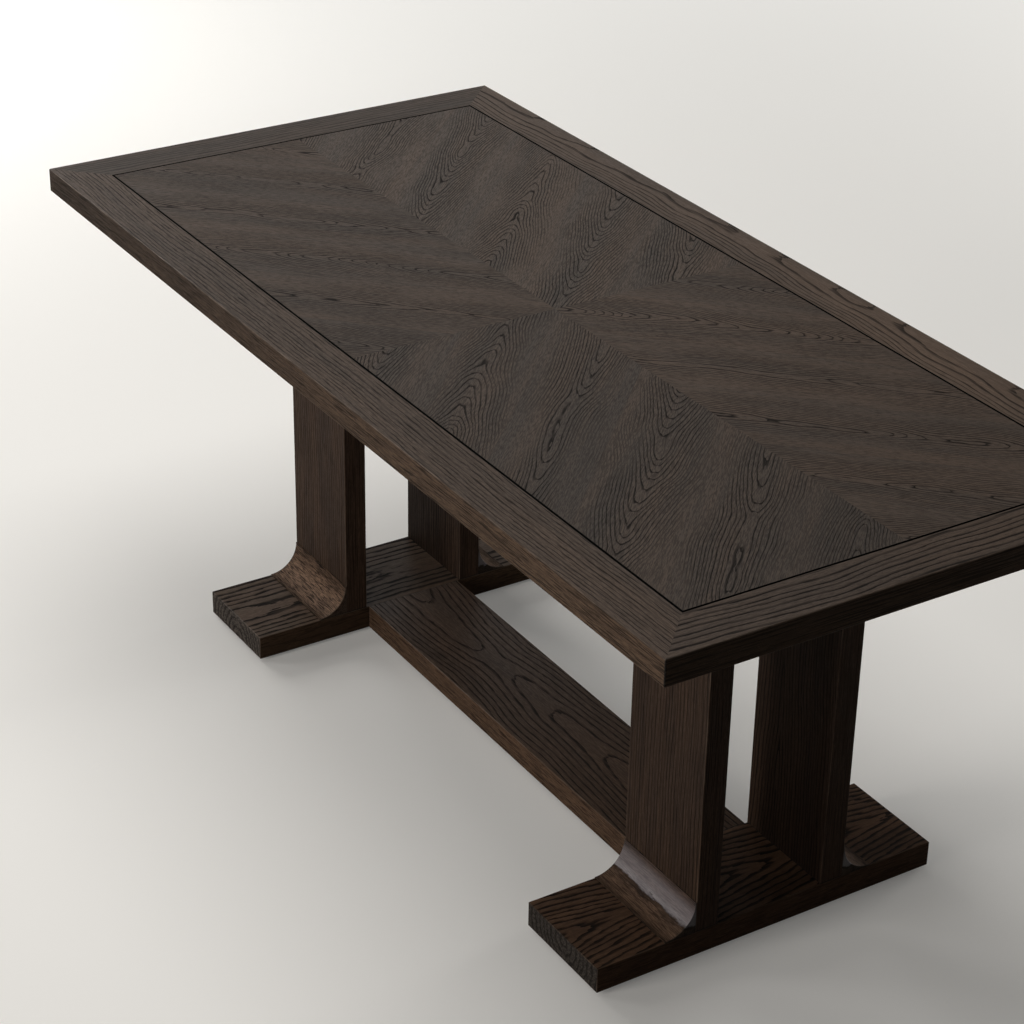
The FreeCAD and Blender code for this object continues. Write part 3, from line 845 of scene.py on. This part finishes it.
def zinc():
    """Bright zinc plate, clouded."""
    finish, cloud, colour = clouded("zinc_plate", ZINC_SHADES, (0.006, 0.006, 0.006), 41.0)
    return finish.surface({"Metallic": 1.0}, Base_Color=colour, Roughness=cloud * 0.25 + 0.25)


class TABLE_OT_hardware(FinishTask, bpy.types.Operator):
    """Finish the plates, screws, bolts and inserts"""

    bl_idname = "table.hardware"
    bl_label = "Hardware"

    def execute(self, context):
        plate = zinc()
        for node in ("post_screws", "post_washers", "plate_screws", "top_bolts", "top_inserts",
                     "leveller_inserts", "joining_plate_left", "joining_plate_right"):
            dress(node, plate)
        return {"FINISHED"}


def only(piece):
    """Selects one object and nothing else."""
    bpy.ops.object.select_all(action="DESELECT")
    piece.select_set(True)
    bpy.context.view_layer.objects.active = piece


def cylinder(name, sides, radius, low, high, at, turn=0.0):
    """A closed cylinder between two levels, with its place in its mesh."""
    bpy.ops.object.select_all(action="DESELECT")
    middle = (at[0], at[1], (low + high) / 2)
    bpy.ops.mesh.primitive_cylinder_add(vertices=sides, radius=radius, depth=high - low, location=middle,
                                        rotation=(0.0, 0.0, turn))
    bpy.ops.object.transform_apply(location=True, rotation=True, scale=True)
    piece = bpy.context.object
    piece.name = name
    return piece


def apply_modifier(piece, kind, **settings):
    """Adds a modifier to a piece with its settings, and applies it."""
    only(piece)
    modifier = piece.modifiers.new(kind.lower(), kind)
    for key, value in settings.items():
        setattr(modifier, key, value)
    bpy.ops.object.modifier_apply(modifier=modifier.name)


ROD_SIDES, BUTTON_SIDES, COLLAR_SIDES = 28, 40, 6
COLLAR_BEVEL, BUTTON_BEVEL, BEVEL_STEPS = 0.0004, 0.0003, 2
TIP_SHARE = 0.75  # width of the stem's tip, as a share of the rod under the thread
SMOOTH_ANGLE = math.radians(25.0)


class TABLE_OT_levellers(FinishTask, bpy.types.Operator):
    """Turn the threaded leveller stems, and finish them and their pads"""

    bl_idname = "table.levellers"
    bl_label = "Levellers"

    def execute(self, context):
        plate = zinc()
        nylon = self.nylon()
        first = self.stem(CORNERS[0])
        first.data.materials.append(plate)
        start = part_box(f"leveller_stem_{CORNERS[0]}")[0]
        stems = [first]
        for corner in CORNERS[1:]:
            only(first)
            bpy.ops.object.duplicate()
            bpy.ops.transform.translate(value=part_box(f"leveller_stem_{corner}")[0] - start)
            bpy.ops.object.transform_apply(location=True, rotation=True, scale=True)
            stems.append(context.object)
        for corner, stem in zip(CORNERS, stems):
            stem.name = f"threaded_stem_{corner}"
            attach(stem, f"stem_{corner}")
            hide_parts(f"leveller_stem_{corner}")
            dress(f"leveller_pad_{corner}", nylon)
        return {"FINISHED"}

    def stem(self, corner):
        """A stem with a thread, a hexagon collar and the button that turns in the pad."""
        sizes = self.settings
        low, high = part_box(f"leveller_stem_{corner}")
        low.z += sizes.button_gap
        at = ((low.x + high.x) / 2, (low.y + high.y) / 2)
        root = sizes.stem_radius - sizes.thread_depth
        button_top = low.z + sizes.button_height
        collar_low = button_top + sizes.collar_gap
        collar_high = collar_low + sizes.collar_height
        rod = cylinder("stem_rod", ROD_SIDES, root, low.z, high.z, at)
        turns = round((high.z - low.z) / sizes.thread_pitch)
        half_pitch = (high.z - low.z) / (2 * turns)
        only(rod)
        bpy.ops.object.mode_set(mode="EDIT")
        self.pick(rod, "EDGE", lambda edge: abs(edge.verts[0].co.z - edge.verts[1].co.z) > half_pitch)
        bpy.ops.mesh.subdivide(number_cuts=2 * turns - 1)
        centre = (at[0], at[1], 0.0)

        def crest(vertex):
            return vertex.co.z > collar_high and round((vertex.co.z - low.z) / half_pitch) % 2 == 1

        self.pick(rod, "VERT", crest)
        swell = sizes.stem_radius / root
        bpy.ops.transform.resize(value=(swell, swell, 1.0), center_override=centre)
        self.pick(rod, "VERT", lambda vertex: vertex.co.z > high.z - half_pitch / 2)
        bpy.ops.transform.resize(value=(TIP_SHARE, TIP_SHARE, 1.0), center_override=centre)
        bpy.ops.object.mode_set(mode="OBJECT")
        corner_radius = sizes.collar_flats / math.sqrt(3)
        collar = cylinder("stem_collar", COLLAR_SIDES, corner_radius, collar_low, collar_high, at,
                          math.pi / COLLAR_SIDES)
        apply_modifier(collar, "BEVEL", width=COLLAR_BEVEL, segments=BEVEL_STEPS)
        button = cylinder("stem_button", BUTTON_SIDES, sizes.button_radius, low.z, button_top, at)
        apply_modifier(button, "BEVEL", width=BUTTON_BEVEL, segments=BEVEL_STEPS)
        for part in (collar, button):
            apply_modifier(rod, "BOOLEAN", operation="UNION", solver="EXACT", object=part)
            only(part)
            bpy.ops.object.delete()
        only(rod)
        bpy.ops.object.shade_smooth_by_angle(angle=SMOOTH_ANGLE)
        return rod

    def pick(self, piece, kind, test):
        """Selects the vertices or edges of the piece in edit mode that pass a test, and nothing else."""
        bpy.ops.mesh.select_mode(type=kind)
        bpy.ops.mesh.select_all(action="DESELECT")
        mesh = bmesh.from_edit_mesh(piece.data)
        for element in mesh.verts if kind == "VERT" else mesh.edges:
            element.select_set(test(element))
        mesh.select_flush_mode()
        bmesh.update_edit_mesh(piece.data)

    def nylon(self):
        """Moulded nylon with a fine bead grain."""
        finish, grain, colour = clouded("black_nylon", NYLON_SHADES, (0.0006, 0.0006, 0.0006), 42.0, 2.0)
        bump = finish.node("ShaderNodeBump", None, {"Strength": 0.3, "Distance": 0.0001, "Height": grain})
        rough = grain * 0.2 + 0.45
        return finish.surface({"Specular IOR Level": 0.4}, Base_Color=colour, Roughness=rough, Normal=bump)


class TABLE_OT_joinery(FinishTask, bpy.types.Operator):
    """Finish the dowels, splines and tongues inside the joints"""

    bl_idname = "table.joinery"
    bl_label = "Joinery"

    def execute(self, context):
        finish, _, colour = clouded("raw_beech", BEECH_SHADES, (0.004, 0.0012, 0.0012), 43.0)
        beech = finish.surface({"Roughness": 0.6}, Base_Color=colour)
        for node in ("mitre_splines", "panel_tongues", "post_dowels", "bearer_dowels", "stretcher_dowels"):
            dress(node, beech)
        return {"FINISHED"}


# Name, place, aim, width and height, watts and colour of each lamp
LAMPS = (
    ("front_panel", (0.2, -4.6, 1.4), (0.0, 0.0, 0.4), (1.6, 2.0), 100.0, (1.0, 0.96, 0.92)),
    ("window", (-2.9, -3.3, 2.4), (0.0, 0.0, 0.4), (1.3, 1.3), 26.0, (1.0, 0.98, 0.97)),
    ("side_panel", (-4.4, -0.5, 1.9), (0.0, 0.0, 0.3), (2.0, 1.8), 76.0, (1.0, 0.98, 0.96)),
    ("back_panel", (-6.2, 3.4, 3.2), (0.0, 0.0, 0.7), (3.0, 2.4), 14.0, (0.90, 0.96, 1.0)),
    ("back_fill", (-0.4, 5.0, 1.2), (0.0, 0.0, 0.4), (1.6, 1.6), 60.0, (1.0, 0.98, 0.96)),
    ("overhead", (-0.6, 0.1, 3.8), (-0.1, 0.0, 0.7), (2.4, 2.4), 66.0, (1.0, 0.98, 0.96)),
)
FLOOR_SIZE = 160.0
FLOOR_BOUNCE = 0.17                       # lightness of the floor for the light it throws back on the table
GLOW_SPAN, GLOW_LEAST = (1.6, 7.0), 0.15  # distances over which the floor's own glow grows from its least
WORLD_LIGHT = (0.018, 0.0175, 0.0170)
CEILING = (0.46, 0.22)                    # slopes where polish mirrors the dark ceiling and the pale part

# The photograph's camera: angles in degrees, place in metres, lens in millimetres
CAMERA_TURN, CAMERA_RISE, CAMERA_ROLL = 57.642, 28.518, 1.055
CAMERA_PLACE = (3.05697, -2.00764, 2.39826)
CAMERA_LENS, SENSOR_WIDTH = 92.848, 36.0
CAMERA_REACH = 100.0


class TABLE_OT_stage(FinishTask, bpy.types.Operator):
    """Set up the floor, the lights and the camera"""

    bl_idname = "table.stage"
    bl_label = "Studio Stage"

    def execute(self, context):
        self.floor()
        for lamp in LAMPS:
            self.light(*lamp)
        self.world(context)
        self.camera(context)
        context.scene.view_settings.view_transform = "Standard"
        return {"FINISHED"}

    def floor(self):
        bpy.ops.object.select_all(action="DESELECT")
        bpy.ops.mesh.primitive_plane_add(size=FLOOR_SIZE)
        floor = bpy.context.object
        floor.name = "studio_floor"
        finish = Finish("studio_floor")
        across, along, _ = finish.place()
        away = (across * across + along * along) ** 0.5
        seen = finish.seen()
        pale = self.settings.floor_colour
        colour = finish.mix(seen, scaled(pale, FLOOR_BOUNCE), scaled(pale))
        glowing = away.rise(*GLOW_SPAN) * (1.0 - GLOW_LEAST) + GLOW_LEAST
        glow = finish.mix(seen * glowing, scaled(pale, 0.0), scaled(pale))
        constants = {"Roughness": 0.9, "Specular IOR Level": 0.1, "Emission Strength": 1.0}
        below = finish.node("ShaderNodeNewGeometry", output="Backfacing")
        floor.data.materials.append(finish.surface(constants, below, Base_Color=colour, Emission_Color=glow))

    def light(self, name, at, target, size, power, colour):
        bpy.ops.object.light_add(type="AREA", location=at)
        lamp = bpy.context.object
        lamp.name = name
        lamp.rotation_euler = (Vector(target) - Vector(at)).to_track_quat("-Z", "Y").to_euler()
        lamp.data.shape = "RECTANGLE"
        lamp.data.size, lamp.data.size_y = size
        lamp.data.energy = power
        lamp.data.color = colour

    def world(self, context):
        """Dim where it lights the table, and as pale as the floor where it is seen. Under a dark ceiling,
        polish mirrors only the pale lower part."""
        sky = Finish("studio", "worlds")
        low_part = sky.place("Generated")[2].rise(*CEILING)
        colour = sky.mix(sky.seen(low_part), scaled(WORLD_LIGHT), scaled(self.settings.floor_colour))
        light = sky.node("ShaderNodeBackground", None, {"Color": colour})
        sky.node("ShaderNodeOutputWorld", None, {"Surface": light})
        context.scene.world = sky.owner

    def camera(self, context):
        turn, rise, roll = (math.radians(angle) for angle in (CAMERA_TURN, CAMERA_RISE, CAMERA_ROLL))
        back = Vector((math.sin(turn) * math.cos(rise), -math.cos(turn) * math.cos(rise), math.sin(rise)))
        level = Vector((math.cos(turn), math.sin(turn), 0.0))
        upright = back.cross(level)
        right = math.cos(roll) * level + math.sin(roll) * upright
        up = math.cos(roll) * upright - math.sin(roll) * level
        bpy.ops.object.camera_add()
        camera = context.object
        camera.name = "photo_view"
        camera.matrix_world = Matrix((right, up, back)).transposed().to_4x4()
        camera.location = CAMERA_PLACE
        camera.data.sensor_width = SENSOR_WIDTH
        camera.data.lens = CAMERA_LENS
        camera.data.clip_end = CAMERA_REACH
        context.scene.camera = camera


class TABLE_PT_panel(bpy.types.Panel):
    """Lists the steps that finish the table"""

    bl_idname = "TABLE_PT_panel"
    bl_label = "Trestle Table"
    bl_space_type = "VIEW_3D"
    bl_region_type = "UI"
    bl_category = "Table"

    def draw(self, context):
        for name in TableSettings.__annotations__:
            self.layout.prop(context.scene.table_settings, name)
        for task in TASKS:
            self.layout.operator(task.bl_idname)


TASKS = (TABLE_OT_border, TABLE_OT_field, TABLE_OT_posts, TABLE_OT_feet, TABLE_OT_coves, TABLE_OT_stretcher,
         TABLE_OT_bearers, TABLE_OT_hardware, TABLE_OT_levellers, TABLE_OT_joinery, TABLE_OT_stage)
CLASSES = (TableSettings, *TASKS, TABLE_PT_panel)


def register():
    for cls in CLASSES:
        bpy.utils.register_class(cls)
    bpy.types.Scene.table_settings = bpy.props.PointerProperty(type=TableSettings)


def unregister():
    del bpy.types.Scene.table_settings
    for cls in reversed(CLASSES):
        bpy.utils.unregister_class(cls)


def main():
    register()
    bpy.ops.table.border()
    bpy.ops.table.field()
    bpy.ops.table.posts()
    bpy.ops.table.feet()
    bpy.ops.table.coves()
    bpy.ops.table.stretcher()
    bpy.ops.table.bearers()
    bpy.ops.table.hardware()
    bpy.ops.table.levellers()
    bpy.ops.table.joinery()
    bpy.ops.table.stage()


if __name__ == "__main__":
    main()
